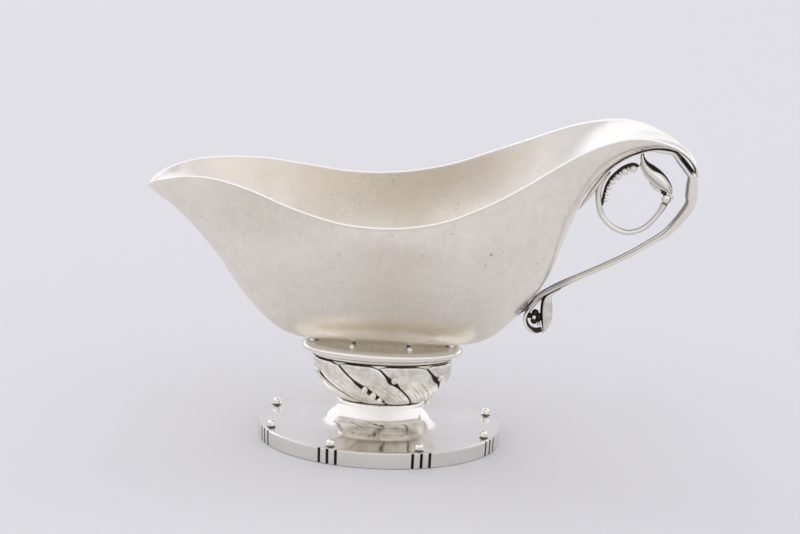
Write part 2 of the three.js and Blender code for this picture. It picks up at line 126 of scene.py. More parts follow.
def silver(name, bright, dull, roughness, hammer=0.0, scratch=0.0, speck=0.0, mottle=0.0):
    """Procedural silver: cloudy tone, planishing marks, fine scratches and dark pits.

    Three mesh attributes then turn it olive, bright or near black: patina and painted dark reflections, a
    brighter rim and painted light, tarnish and painted shade.
    """
    mat = bpy.data.materials.new(name)
    mat.use_nodes = True
    nodes, links = mat.node_tree.nodes, mat.node_tree.links
    shader = nodes["Principled BSDF"]
    shader.inputs["Metallic"].default_value = 1.0
    coords = nodes.new("ShaderNodeTexCoord").outputs["Object"]

    def texture(scale, detail=3.0, stretch=None):
        source = coords
        if stretch:
            mapping = nodes.new("ShaderNodeMapping")
            mapping.inputs["Scale"].default_value = stretch
            links.new(coords, mapping.inputs["Vector"])
            source = mapping.outputs["Vector"]
        tex = nodes.new("ShaderNodeTexNoise")
        tex.inputs["Scale"].default_value = scale
        tex.inputs["Detail"].default_value = detail
        links.new(source, tex.inputs["Vector"])
        return tex.outputs["Fac"]

    def remap(value, low, high, out_low, out_high):
        node = nodes.new("ShaderNodeMapRange")
        limits = {"From Min": low, "From Max": high, "To Min": out_low, "To Max": out_high}
        for socket, number in limits.items():
            node.inputs[socket].default_value = number
        links.new(value, node.inputs["Value"])
        return node.outputs["Result"]

    def mix(factor, a, b):
        node = nodes.new("ShaderNodeMix")
        node.data_type = "RGBA"
        links.new(factor, node.inputs["Factor"])
        for socket, value in ((6, a), (7, b)):
            if isinstance(value, tuple):
                node.inputs[socket].default_value = (*value, 1)
            else:
                links.new(value, node.inputs[socket])
        return node.outputs[2]

    def calc(operation, a, b):
        node = nodes.new("ShaderNodeMath")
        node.operation = operation
        for socket, value in zip(node.inputs, (a, b)):
            if isinstance(value, (int, float)):
                socket.default_value = value
            else:
                links.new(value, socket)
        return node.outputs[0]

    cloud = texture(CLOUD_SCALE, 5)
    tone = mix(remap(cloud, 0.35, 0.65, 0, 1), bright, dull)
    rough = remap(cloud, 0.3, 0.7, roughness * 0.85, roughness * 1.2)
    if mottle:
        patches = remap(texture(MOTTLE_SCALE, 5), 0.42, 0.62, 0, mottle)
        tone = mix(patches, tone, tuple(MOTTLE_TONE * part for part in dull))
    height = None
    if hammer:
        height = calc("MULTIPLY", texture(HAMMER_SCALE, 2), hammer)
    if scratch:
        lines = texture(SCRATCH_SCALE, 4, SCRATCH_STRETCH)
        fine = calc("MULTIPLY", lines, scratch)
        height = fine if height is None else calc("ADD", height, fine)
        rough = calc("ADD", rough, calc("MULTIPLY", calc("SUBTRACT", lines, 0.5), scratch * 0.25))
    if height is not None:
        bump = nodes.new("ShaderNodeBump")
        bump.inputs["Strength"].default_value = BUMP_STRENGTH
        bump.inputs["Distance"].default_value = BUMP_DISTANCE
        links.new(height, bump.inputs["Height"])
        links.new(bump.outputs["Normal"], shader.inputs["Normal"])
    if speck:
        pits = remap(texture(PIT_SCALE, 2), 0.72, 0.78, 0, speck)
        tone = mix(pits, tone, PIT_TONE)
    for layer_name, layer_tone in LAYER_TONES.items():
        layer = nodes.new("ShaderNodeAttribute")
        layer.attribute_name = layer_name
        tone = mix(layer.outputs["Fac"], tone, layer_tone)
        if layer_name == "tarnish_and_painted_shade":
            rough = calc("ADD", rough, calc("MULTIPLY", layer.outputs["Fac"], TARNISH_ROUGHNESS))
    links.new(tone, shader.inputs["Base Color"])
    links.new(rough, shader.inputs["Roughness"])
    return mat


# Each: bright tone, dull tone, roughness, then the weights of hammer, scratch, speck and mottle.
LOOKS = {
    "hammered_silver": ((0.91, 0.86, 0.77), (0.87, 0.815, 0.72), 0.27, 0.5, 0.1, 0.5, 0.2),
    "polished_silver": ((0.93, 0.91, 0.89), (0.88, 0.86, 0.83), 0.12, 0.0, 0.2, 0.2),
    "leaf_silver": ((0.97, 0.945, 0.89), (0.91, 0.875, 0.80), 0.36, 2.0, 0.6, 0.7, 0.85),
    "handle_silver": ((0.90, 0.87, 0.83), (0.83, 0.80, 0.73), 0.22, 0.2, 0.4, 0.2),
    "oxidised_silver": ((0.07, 0.06, 0.05), (0.03, 0.026, 0.02), 0.5, 0.2, 0.4),
}
MATERIALS = {name: silver(name, *look) for name, look in LOOKS.items()}


# ---- mesh making ----
def add_piece(name, verts, faces, slot, nodes=(), tarnish_and_painted_shade=None, patina_and_painted_reflection=None, light_rim_and_painted_light=None, finish=None):
    """A smooth closed mesh, from points in mm, that rides on the boat and stands for CAD nodes.

    finish is the material's name where it isn't the slot's.
    """
    mesh = bpy.data.meshes.new(name)
    mesh.from_pydata(place(verts).tolist(), [], faces)
    for layer_name, values in (("tarnish_and_painted_shade", tarnish_and_painted_shade), ("patina_and_painted_reflection", patina_and_painted_reflection), ("light_rim_and_painted_light", light_rim_and_painted_light)):
        if values is not None:
            layer = mesh.attributes.new(layer_name, "FLOAT", "POINT")
            layer.data.foreach_set("value", np.clip(np.asarray(values, np.float32).reshape(-1), 0, 1))
    bm = bmesh.new()
    bm.from_mesh(mesh)
    bmesh.ops.remove_doubles(bm, verts=bm.verts, dist=1e-7)
    bmesh.ops.recalc_face_normals(bm, faces=bm.faces)
    bm.to_mesh(mesh)
    bm.free()
    mesh.polygons.foreach_set("use_smooth", [True] * len(mesh.polygons))
    mesh.materials.append(MATERIALS[finish or slot])
    piece = bpy.data.objects.new(name, mesh)
    bpy.context.scene.collection.objects.link(piece)
    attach(piece, "root")
    if nodes:
        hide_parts(*nodes)
    return piece


def loft(rings):
    """Points and faces of a closed skin through equal rings, each end closed by a strip of faces."""
    rings = np.asarray(rings, float)
    rows, count = rings.shape[:2]
    faces = [
        (r * count + i, r * count + (i + 1) % count, (r + 1) * count + (i + 1) % count, (r + 1) * count + i)
        for r in range(rows - 1)
        for i in range(count)
    ]
    last = (rows - 1) * count
    for i in range(count // 2 - 1):
        faces.append((count - 1 - i, count - 2 - i, i + 1, i))
        faces.append((last + i, last + i + 1, last + count - 2 - i, last + count - 1 - i))
    return rings.reshape(-1, 3), faces


def closed_grid(points):
    """Points and faces of a grid that closes on itself both ways, such as a ring's skin."""
    rows, count = points.shape[:2]
    faces = [
        (a * count + i, a * count + j, b * count + j, b * count + i)
        for a, b in zip(range(rows), [*range(1, rows), 0])
        for i, j in zip(range(count), [*range(1, count), 0])
    ]
    return points.reshape(-1, 3), faces


def oval_stack(knots, rows, segments=144):
    """Rings of ovals through knots [half_length, half_width, z]."""
    levels = catmull_rom(knots, np.linspace(0, 1, rows))
    turn = np.linspace(0, 2 * math.pi, segments, endpoint=False)
    around = (np.cos(turn), np.sin(turn), turn * 0 + 1)
    return np.stack([np.outer(levels[:, axis], wave) for axis, wave in enumerate(around)], axis=2)


def bead_mesh(radius, foot, segments=32, rows=18):
    """A granule about the origin: a whole ball, or one on a small spreading foot of solder."""
    turn = np.linspace(0, 2 * math.pi, segments, endpoint=False)
    lat = np.linspace(-0.95 if foot else 1e-3 - math.pi / 2, math.pi / 2 - 1e-3, rows)
    ring, height = np.cos(lat), np.sin(lat)
    if foot:
        ring = np.concatenate([[0.3, 1.2, 1.22, 1.0, 0.72], ring])
        height = np.concatenate([[-1.0, -1.0, -0.96, -0.88, -0.85], height])
    ring, height = ring * radius, height * radius
    x, y, z = np.outer(ring, np.cos(turn)), np.outer(ring, np.sin(turn)), np.outer(height, turn * 0 + 1)
    return np.stack([x, y, z], axis=2)


def add_bead(name, radius, centre, slot, nodes=(), axis=(0, 0, 1), painted_foot_shadow=1.0, stretch=1.0):
    """A granule whose foot points away from axis, its foot darkened by a painted shadow; stretch lengthens it
    upwards along the surface.
    """
    rings = bead_mesh(radius, painted_foot_shadow > 0)
    # Painted shadow: the bead's lowest part darkened, as strongly as the given strength.
    painted_shadow = smooth_step((-rings[:, :, 2] / radius - 0.6) / 0.2) * painted_foot_shadow
    out = Vector(axis).normalized()
    side = Vector((0, 0, 1)).cross(out)
    side = side.normalized() if side.length > 1e-6 else Vector((1, 0, 0))
    rings[:, :, 1] *= stretch
    basis = np.array([side, out.cross(side), out])
    verts, faces = loft(rings @ basis + np.asarray(centre, float))
    return add_piece(name, verts, faces, slot, nodes, painted_shadow)


def forged_bar(knots, rows, sides=48, corner=2.6, section=None):
    """Rings of a bar in the XZ plane through knots [x, z, half_thickness, half_width].

    corner is the section's superellipse power. section(c, s) reshapes it: c points to the left
    of the bar's run, seen from the front, and s towards the back.
    """
    curve = catmull_rom(knots, np.linspace(0, 1, rows))
    path = np.column_stack([curve[:, 0], curve[:, 0] * 0, curve[:, 1]])
    size = np.maximum(curve[:, 2:], 0.05)
    tangent = np.gradient(path, axis=0)
    tangent /= np.linalg.norm(tangent, axis=1, keepdims=True)
    normal = np.cross(tangent, [0, 1, 0])
    turn = bar_turns(sides)
    c = np.sign(np.cos(turn)) * np.abs(np.cos(turn)) ** (2 / corner)
    s = np.sign(np.sin(turn)) * np.abs(np.sin(turn)) ** (2 / corner)
    if section:
        c, s = section(c, s)
    thick, wide = size[:, 0, None, None], size[:, 1, None, None]
    across = np.array([0.0, 1.0, 0.0])
    return path[:, None] + normal[:, None] * (thick * c[None, :, None]) + across * (wide * s[None, :, None])


def bar_turns(sides):
    return 2 * math.pi * (np.arange(sides) + 0.5) / sides


def line_at(value, centre, width):
    """A soft line: 1 where value is at centre, 0.5 half a width away, 0 from three quarters of a width."""
    return smooth_step(1.5 - np.abs(value - centre) / (width / 2))


# ---- bowl ----
# Rim knots [x, half_width, z] and the keel knots [x, z] below them, from the spout to the handle's tip.
RIM = [
    (-90.4, 0.8, 95.2),
    (-88.0, 5.6, 97.8),
    (-82.5, 10.4, 100.3),
    (-74.5, 13.6, 102.3),
    (-64.0, 18.0, 102.8),
    (-50.0, 26.0, 101.2),
    (-34.0, 34.4, 97.4),
    (-15.0, 40.0, 93.9),
    (4.0, 43.2, 94.0),
    (22.0, 44.4, 97.6),
    (38.0, 42.2, 104.0),
    (52.0, 36.4, 110.8),
    (64.0, 29.4, 117.2),
    (73.0, 24.2, 121.4),
    (82.0, 19.6, 124.2),
    (89.0, 16.0, 125.2),
    (96.0, 12.2, 124.5),
    (102.0, 8.8, 122.6),
    (107.5, 5.7, 119.9),
    (112.0, 3.5, 116.1),
    (114.8, 2.0, 112.0),
    (115.8, 0.8, 108.8),
]
KEEL = [
    (-90.0, 94.0),
    (-87.3, 92.3),
    (-81.5, 88.3),
    (-73.0, 80.6),
    (-63.2, 69.2),
    (-51.5, 53.2),
    (-37.0, 41.2),
    (-18.0, 38.5),
    (2.0, 38.2),
    (22.0, 38.9),
    (39.0, 42.0),
    (51.7, 53.1),
    (61.6, 67.8),
    (67.3, 84.0),
    (73.6, 100.6),
    (81.0, 110.4),
    (89.7, 116.5),
    (97.5, 119.3),
    (104.8, 119.2),
    (110.2, 116.6),
    (113.6, 112.4),
    (114.9, 108.6),
]


def bowl_surface(u, v):
    """Outside of the bowl over u (spout to handle tip) and v (rim to rim), and the rim's half widths."""
    rim = catmull_rom(RIM, u)
    keel = catmull_rom([(x, 0, z) for x, z in KEEL], u)
    angle = np.abs(v) * math.pi / 2
    rise = (1 - np.cos(angle))[None, :]
    x = keel[:, None, 0] + (rim[:, None, 0] - keel[:, None, 0]) * rise
    z = keel[:, None, 2] + (rim[:, None, 2] - keel[:, None, 2]) * rise
    y = rim[:, None, 1] * (np.sign(v) * np.sin(angle))[None, :]
    return np.stack([x, y, z], axis=2), rim[:, 1]


def bowl_underside(x, y):
    """Height of the bowl's outside over a place near its bottom."""
    u = np.linspace(0, 1, 400)
    rim, keel = catmull_rom(RIM, u), catmull_rom([(a, 0, b) for a, b in KEEL], u)
    keel_z = np.interp(x, keel[:, 0], keel[:, 2])
    rim_z, half_width = np.interp(x, rim[:, 0], rim[:, 2]), np.interp(x, rim[:, 0], rim[:, 1])
    return keel_z + (rim_z - keel_z) * (1 - np.sqrt(1 - (y / half_width) ** 2))


def bowl_normals(points):
    along, around = np.gradient(points, axis=0), np.gradient(points, axis=1)
    normals = np.cross(along, around)
    return normals / np.maximum(np.linalg.norm(normals, axis=2, keepdims=True), 1e-9)


def hand_made(point):
    """The slight unevenness of raised sheet: broad waves and smaller ones."""
    return noise.noise(point * 0.045) + 0.4 * noise.noise(point * 0.13)


def make_bowl(stations=220, sections=112, edge_points=5):
    """The bowl: painted olive reflections at its belly, shoulder and bottom, with a dark line below the
    handle.

    The rounded rim is brightened, and the inside is brightened by painted light, most of all at its two ends,
    with a painted darker reflection in a band across its middle.
    """
    u, v = np.linspace(0, 1, stations), np.linspace(-1, 1, sections + 1)
    outside, half_width = bowl_surface(u, v)
    normals = bowl_normals(outside)
    sheet = np.minimum(SHEET, 0.15 + 0.35 * half_width)[:, None, None]
    waves = np.array([[hand_made(Vector(point)) for point in row] for row in outside])
    outside = outside + normals * (waves[:, :, None] * 0.12)
    inside = outside + normals * sheet
    lift = np.gradient(outside, axis=1)
    lift /= np.linalg.norm(lift, axis=2, keepdims=True)
    bend = np.linspace(0, math.pi, edge_points + 2)[1:-1]

    def edge(side, sign, start, end):
        centre, half = (start + end) / 2, (start - end) / 2
        up = lift[:, side] * sign * sheet[:, 0] * 0.4
        return np.stack([centre + half * math.cos(a) + up * math.sin(a) for a in bend], axis=1)

    right = edge(-1, 1, outside[:, -1], inside[:, -1])
    left = edge(0, -1, inside[:, 0], outside[:, 0])
    rings = np.concatenate([outside, right, inside[:, ::-1], left], axis=1)
    verts, faces = loft(rings)
    x, z = outside[:, :, 0], outside[:, :, 2]
    # Painted olive reflections on the outside: the belly, the shoulder by the spout, and the bottom.
    belly = 0.34 * np.exp(-(((x - 4) / 20) ** 2)) * smooth_step((93 - z) / 10)
    belly = belly * (0.45 + 0.55 * smooth_step((z - 52) / 18))
    shoulder = 0.25 * np.exp(-(((x + 48) / 18) ** 2)) * smooth_step((z - 78) / 14)
    bottom = 0.2 * smooth_step((54 - z) / 10)
    edge_zero, edge_one = np.zeros((stations, edge_points)), np.ones((stations, edge_points))
    # Inside: painted light all over, most at the two ends, and a painted darker reflection in a band across
    # the middle; the rounded rim is fully brightened.
    inner_x = inside[:, ::-1, 0]
    band = np.exp(-(((inner_x - 9) / 19) ** 2))
    ends = smooth_step((-inner_x - 40) / 25) + smooth_step((inner_x - 35) / 20)
    patina_and_painted_reflection = np.concatenate([belly + shoulder + bottom, edge_zero, 0.24 * band, edge_zero], axis=1)
    light_rim_and_painted_light = np.concatenate([0 * x, edge_one, (0.36 + 0.5 * ends) * (1 - band), edge_one], axis=1)
    seam = 0.22 * smooth_step((0.045 - np.abs(v)) / 0.02)[None, :]
    seam = seam * smooth_step((x - 50) / 4) * smooth_step((104 - z) / 8)
    tarnish_and_painted_shade = np.concatenate([seam, edge_zero, 0 * x, edge_zero], axis=1)
    return add_piece("Bowl", verts, faces, "hammered_silver", ["bowl"], tarnish_and_painted_shade, patina_and_painted_reflection, light_rim_and_painted_light)


# ---- collar, knop, neck ----
COLLAR = [
    (20.0, 9.0, 33.0),
    (26.2, 14.2, 32.5),
    (26.8, 14.6, 32.9),
    (27.4, 15.0, 33.8),
    (28.7, 15.6, 34.4),
    (30.1, 16.35, 34.9),
    (30.8, 16.75, 35.5),
    (30.75, 16.7, 36.2),
    (30.3, 16.35, 36.9),
    (29.6, 15.75, 37.6),
    (28.7, 14.95, 38.2),
    (27.2, 13.5, 39.3),
    (25.6, 12.0, 40.7),
    (24.6, 11.2, 41.8),
    (22.6, 10.2, 41.2),
    (19.0, 8.4, 39.0),
    (8.0, 3.4, 37.0),
]
KNOP_PROFILE = [
    (15.6, 15.4),
    (18.6, 17.1),
    (21.2, 19.5),
    (23.4, 22.1),
    (25.2, 25.0),
    (26.3, 28.4),
    (26.6, 32.2),
]
NECK = [
    (31.0, 22.4, 6.5),
    (28.8, 20.0, 6.95),
    (26.0, 16.6, 7.5),
    (23.0, 13.5, 8.3),
    (20.3, 11.7, 9.3),
    (18.7, 10.6, 10.5),
    (17.4, 9.75, 11.9),
    (16.5, 9.1, 13.4),
    (15.9, 8.6, 14.9),
    (14.6, 7.6, 15.3),
]
COLLAR_BEADS = 8
COLLAR_BEAD_OVAL = (28.5, 14.2)
COLLAR_BEAD_HEIGHT = 39.4
COLLAR_BEAD_RADIUS = 1.05


def make_collar():
    """The collar, lapped onto the bowl's underside, and its beads."""
    rings = oval_stack(COLLAR, 90)
    rings[:, :, 2] = np.minimum(rings[:, :, 2], bowl_underside(rings[:, :, 0], rings[:, :, 1]) + 0.5)
    verts, faces = loft(rings)
    height = rings[:, :, 2]
    # Painted olive reflections on the upper cone and the underside, over an even olive tone.
    olive = 0.2 + 0.45 * smooth_step((height - 37.8) / 0.4) + 0.2 * smooth_step((35.0 - height) / 0.5)
    crease = smooth_step((33.35 - height) / 0.3)
    add_piece("Collar", verts, faces, "polished_silver", ["collar"], crease, olive)
    for i in range(COLLAR_BEADS):
        turn = (i + 0.5) * 2 * math.pi / COLLAR_BEADS
        x, y = COLLAR_BEAD_OVAL[0] * math.cos(turn), COLLAR_BEAD_OVAL[1] * math.sin(turn)
        seat, outward = (x, y, COLLAR_BEAD_HEIGHT), (x, y * 2, 12)
        node = "collar_bead_%d" % (i + 1)
        add_bead(node.capitalize(), COLLAR_BEAD_RADIUS, seat, "polished_silver", [node], outward, 0.6)


KNOP_TURNS = np.linspace(0, 2 * math.pi, 721)
KNOP_STEPS = np.hypot(np.diff(np.cos(KNOP_TURNS)), KNOP_ASPECT * np.diff(np.sin(KNOP_TURNS)))
KNOP_RUN = np.concatenate([[0], np.cumsum(KNOP_STEPS)])


def knop_points(around, share, lift):
    """Points on the knop.

    around is a share of the way round, share runs from foot to top, and lift is off the core.
    """
    profile = catmull_rom([(r, 0, z) for r, z in KNOP_PROFILE], np.ravel(share))
    r, z = profile[:, 0].reshape(np.shape(share)), profile[:, 2].reshape(np.shape(share))
    angle = np.interp((np.asarray(around) % 1) * KNOP_RUN[-1], KNOP_RUN, KNOP_TURNS)
    half_length = r - LEAF_THICKNESS + lift
    half_width = r * KNOP_ASPECT - LEAF_THICKNESS + lift
    return np.stack([KNOP_SHIFT + half_length * np.cos(angle), half_width * np.sin(angle), z], axis=-1)


# Two opposite grooves are channels of three berries, and each of the others holds one near its top.
# A berry is [share of the way from the knop's foot to its top, radius].
CHANNEL_GROOVES = (3, 7)
CHANNEL_BERRIES = ((0.51, 1.2), (0.36, 1.25), (0.22, 1.1))
TOP_BEAD = (0.77, 1.25)
GROOVE_SHIFT = {1: 0.02, 5: 0.02}
BERRY_STRETCH = 1.2


def leaf_indent(groove, share):
    """How far a leaf's edge stands back from its groove, as a share of the way round the knop."""
    if groove in CHANNEL_GROOVES:
        return 0.010 * smooth_step((0.76 - share) / 0.20) * smooth_step((share - 0.10) / 0.08)
    return 0.009 * np.exp(-(((share - 0.73) / 0.095) ** 2))


def knop_leaf(index, rows=90, columns=72):
    """One chased leaf: crowned, with a low slanting fold, veins, a rolled tip and a dark rim."""
    share = np.linspace(1.0, 0.0, rows)[:, None]
    down = 1 - share
    v = np.linspace(-1, 1, columns)[None, :]
    before = (index - 1) % KNOP_LEAVES
    left = LEAF_HALF - leaf_indent(before, share) - GROOVE_SHIFT.get(before, 0)
    right = LEAF_HALF - leaf_indent(index, share) + GROOVE_SHIFT.get(index, 0)
    middle = FIRST_LEAF + index / KNOP_LEAVES + LEAF_TWIST * down
    around = middle + v * np.where(v < 0, left, right)
    corner = 0.04 * smooth_step((np.abs(v) - 0.5) / 0.5) ** 1.5
    reach = share * (1 - corner * smooth_step(share)) + 0 * v
    edge = 1 - np.abs(v) ** 7
    crown = 0.28 * (1 - v**2)
    fold_at = -0.65 + 0.9 * smooth_step((0.62 - down) / 0.4)
    fold = 0.16 * smooth_step((v - fold_at) / 0.10)
    fold = fold * smooth_step((down - 0.08) / 0.1) * smooth_step((0.72 - down) / 0.1)
    veins = sum(
        line_at(v, at, 0.06) * smooth_step((down - start) / 0.15) * smooth_step((0.95 - down) / 0.1)
        for at, start in ((-0.55, 0.5), (-0.30, 0.3), (-0.05, 0.42), (0.22, 0.24), (0.50, 0.5))
    )
    roll = 0.35 * np.exp(-(((down - 0.06) / 0.05) ** 2)) * (1 - 0.5 * np.abs(v))
    ends = smooth_step((down + 0.012) / 0.03) * smooth_step((1.0 - down) / 0.04)
    lift = 0.1 + edge * ends * (0.72 + crown + fold + roll - 0.10 * veins)
    outer = knop_points(around, reach, lift)
    inner = knop_points(around, reach, np.full_like(lift, -0.3))
    verts, faces = loft(np.concatenate([outer, inner[:, ::-1]], axis=1))
    dark = smooth_step((np.abs(v) - 0.93) / 0.06) + 0.40 * veins
    dark = dark + smooth_step((down - 0.97) / 0.03) * 0.8
    dark = np.concatenate([dark + 0 * lift, np.ones_like(lift)], axis=1)
    name = "knop_leaf_%d" % (index + 1)
    add_piece(name.capitalize(), verts, faces, "leaf_silver", [name], dark.reshape(-1))


def make_knop():
    """The knop's core, dark below the leaves' tops, with its leaves and the berries between them."""
    levels = [(13.6, 7.0, 15.0)]
    levels += [(r - LEAF_THICKNESS, r * KNOP_ASPECT - LEAF_THICKNESS, z) for r, z in KNOP_PROFILE]
    levels += [(24.6, 12.6, 32.8)]
    rings = oval_stack(levels, 60)
    rings[:, :, 0] += KNOP_SHIFT
    verts, faces = loft(rings)
    dark = smooth_step((31.4 - rings[:, :, 2]) / 0.6) * 0.95
    add_piece("Knop_core", verts, faces, "oxidised_silver", ["knop_core"], dark, finish="leaf_silver")
    for i in range(KNOP_LEAVES):
        knop_leaf(i)
        groove = FIRST_LEAF + (i + 0.5) / KNOP_LEAVES + GROOVE_SHIFT.get(i, 0)
        berries = CHANNEL_BERRIES if i in CHANNEL_GROOVES else (TOP_BEAD,)
        for berry, (share, radius) in enumerate(berries):
            along = groove + LEAF_TWIST * (1 - share) + (0 if i in CHANNEL_GROOVES else 0.009)
            seat = knop_points(along, np.array(share), np.array(radius * 0.95))
            nodes = ["knop_berry_%d" % (i + 1)] if berry == 0 else []
            outward = (seat[0] * KNOP_ASPECT**2, seat[1], -3)
            name = "Knop_berry_%d_%d" % (i + 1, berry + 1)
            add_bead(name, radius, seat, "leaf_silver", nodes, outward, 1.0, BERRY_STRETCH)


def make_neck():
    """The trumpet neck, darkened in its middle by a painted dark reflection."""
    verts, faces = loft(oval_stack(NECK, 60))
    # Painted dark reflection: a soft olive patch down the middle.
    dull = 0.24 * np.exp(-(((verts[:, 0] - 2) / 8) ** 2)) * smooth_step((verts[:, 2] - 7.2) / 1.5)
    add_piece("Neck", verts, faces, "polished_silver", ["neck"], patina_and_painted_reflection=dull)


# ---- foot ----
def foot_oval(inset, turn):
    return (FOOT_HALF_LENGTH - inset) * np.cos(turn), (FOOT_HALF_WIDTH - inset) * np.sin(turn)


# The plate's edge, [inset from the band's outside, z], from inside the band over its top.
PLATE_EDGE = [
    (1.7, 5.2),
    (1.6, 5.7),
    (0.7, 5.95),
    (0.32, 6.0),
    (0.2, 6.08),
    (0.24, 6.18),
    (0.6, 6.24),
    (1.2, 6.22),
]


def make_plate():
    """The foot's top: a low dome that runs out over the band, with a painted olive reflection where it
    mirrors the knop.
    """
    turn = np.linspace(0, 2 * math.pi, 240, endpoint=False)
    rings = [np.stack([*foot_oval(inset, turn), turn * 0 + z], axis=1) for inset, z in PLATE_EDGE]
    for share in np.linspace(0.97, 0.04, 40):
        x, y = foot_oval(PLATE_EDGE[-1][0], turn)
        rise = PLATE_RISE * float(smooth_step((0.99 - share) / 0.8)) ** 0.8
        rings.append(np.stack([x * share, y * share, turn * 0 + BAND_HEIGHT + rise], axis=1))
    verts, faces = loft(rings)
    x, y = verts[:, 0], np.abs(verts[:, 1])
    # Painted olive reflection of the knop, on each side of it.
    olive = 0.5 * np.exp(-((x / 18) ** 2)) * smooth_step((y - 12) / 5) * smooth_step((38 - y) / 1.0)
    add_piece("Foot_plate", verts, faces, "polished_silver", ["foot_plate"], patina_and_painted_reflection=olive)


def make_band():
    """The upright rim: eight groups of three dark grooves with pillowed metal between the lines."""
    perimeter = 2 * math.pi * math.sqrt((FOOT_HALF_LENGTH**2 + FOOT_HALF_WIDTH**2) / 2)
    step = 2 * math.pi / perimeter
    groups = [(g + 0.5) * 2 * math.pi / GROUPS for g in range(GROUPS)]
    centres = [middle + line * GROOVE_PITCH * step for middle in groups for line in (-1, 0, 1)]
    turn = set(np.linspace(0, 2 * math.pi, 240, endpoint=False))
    for centre in centres:
        turn.update(centre + np.linspace(-0.9, 0.9, 15) * GROOVE_WIDTH * step)
    turn = np.array(sorted(turn))
    off = np.min(np.abs(turn[:, None] - np.array(centres)[None, :]), axis=1) / step
    from_group = np.min(np.abs(turn[:, None] - np.array(groups)[None, :]), axis=1) / step
    groove = 1 - smooth_step((off - GROOVE_WIDTH * 0.25) / (GROOVE_WIDTH * 0.35))
    in_group = smooth_step((1.7 * GROOVE_PITCH - from_group) / 1.5)
    pillow = PILLOW_RISE * smooth_step(off / (GROOVE_PITCH / 2)) * in_group
    outer_z = np.concatenate([[0.0, 0.1, 0.3], np.linspace(0.6, 5.6, 12), [5.85, 5.98, 6.02]])
    rounding = np.interp(outer_z, [0, 0.1, 0.3, 5.85, 5.98, 6.02], [0.3, 0.1, 0, 0, 0.1, 0.35])
    columns, dark = [], []
    for z, inset in zip(outer_z, rounding):
        swell = pillow * math.sin(math.pi * z / BAND_HEIGHT)
        x, y = foot_oval(BAND_TAPER * (1 - z / BAND_HEIGHT) + inset + groove * GROOVE_DEPTH - swell, turn)
        columns.append(np.stack([x, y, turn * 0 + z], axis=1))
        # Dark grooves, and painted shade along the bottom edge, where the band stands on the floor.
        dark.append(smooth_step((0.62 * GROOVE_WIDTH - off) / 0.14) + 0.5 * smooth_step((0.35 - z) / 0.3))
    for inset, z in ((BAND_WALL - 0.1, 5.95), (BAND_WALL, 5.8), (BAND_WALL, 0.2), (BAND_WALL - 0.1, 0.0)):
        columns.append(np.stack([*foot_oval(inset, turn), turn * 0 + z], axis=1))
        dark.append(turn * 0)
    verts, faces = closed_grid(np.stack(columns, axis=1))
    dark = np.stack(dark, axis=1)
    add_piece("Foot_rim_band", verts, faces, "polished_silver", ["foot_rim_band"], dark, 0.2 + 0 * dark)


def make_foot():
    make_plate()
    make_band()
    for i in range(GROUPS):
        turn = (i + 0.5) * 2 * math.pi / GROUPS
        x, y = foot_oval(FOOT_BEAD_INSET, turn)
        centre = (x, y, BAND_HEIGHT + 0.95 * FOOT_BEAD_RADIUS)
        node = "foot_bead_%d" % (i + 1)
        add_bead(node.capitalize(), FOOT_BEAD_RADIUS, centre, "polished_silver", [node], painted_foot_shadow=0.8)


# ---- handle ----
STRAP = [
    (71.8, 93.8, 0.2, 0.6),
    (74.2, 97.6, 0.7, 1.8),
    (77.1, 102.3, 1.0, 2.6),
    (80.1, 107.0, 0.8, 2.8),
    (83.2, 110.8, 0.5, 2.8),
    (86.7, 113.6, 0.45, 2.8),
    (90.3, 115.7, 0.45, 2.8),
    (94.0, 117.2, 0.45, 2.8),
    (97.4, 118.2, 0.5, 2.8),
    (100.8, 118.2, 0.9, 2.8),
    (104.2, 117.9, 0.9, 2.8),
    (106.0, 117.4, 0.95, 2.8),
    (108.7, 114.7, 1.5, 2.9),
    (112.2, 110.5, 1.6, 3.0),
    (113.4, 108.8, 1.75, 3.0),
    (113.6, 104.8, 2.2, 3.0),
    (113.6, 100.4, 2.3, 3.0),
    (113.7, 99.3, 2.0, 3.0),
    (112.7, 96.5, 1.95, 2.9),
    (109.2, 91.2, 1.75, 2.8),
    (104.6, 86.0, 1.4, 2.6),
    (100.3, 83.0, 1.15, 2.4),
    (91.8, 77.4, 1.05, 2.2),
    (82.0, 72.0, 1.0, 2.1),
    (73.0, 67.4, 1.05, 2.0),
    (66.2, 63.9, 1.15, 2.0),
    (62.4, 61.7, 1.1, 2.0),
    (59.4, 59.8, 1.0, 1.9),
    (57.6, 58.2, 0.9, 1.8),
    (56.0, 56.2, 0.7, 1.7),
    (54.9, 54.6, 0.4, 1.5),
]
TENDRIL = [
    (83.0, 108.8, 0.25, 0.5),
    (80.9, 106.2, 0.6, 0.9),
    (79.5, 104.0, 0.9, 1.0),
    (78.8, 101.2, 1.05, 1.1),
    (78.9, 98.2, 1.1, 1.1),
    (79.4, 95.0, 1.1, 1.1),
    (80.5, 91.9, 1.05, 1.1),
    (82.7, 89.1, 1.0, 1.1),
    (86.1, 86.8, 1.0, 1.1),
    (90.5, 85.7, 0.95, 1.1),
    (94.2, 86.5, 0.95, 1.0),
    (96.8, 88.0, 0.95, 1.0),
    (99.5, 90.7, 0.9, 1.0),
    (101.9, 94.0, 0.95, 1.1),
    (103.4, 96.8, 1.2, 1.2),
    (104.2, 98.8, 1.2, 1.1),
]
TENDRIL_BEADS = [
    (81.6, 97.9, 0.85),
    (81.9, 100.3, 0.82),
    (82.6, 102.7, 0.97),
    (83.8, 105.0, 1.15),
    (85.7, 107.2, 1.28),
    (88.2, 109.3, 1.42),
    (91.3, 110.5, 1.46),
]
TENDRIL_MIDDLE = (91.2, 98.4)
BEAD_BAR_ENDS = ((80.6, 95.8, 0.2, 0.4), (93.4, 111.6, 0.4, 0.6))
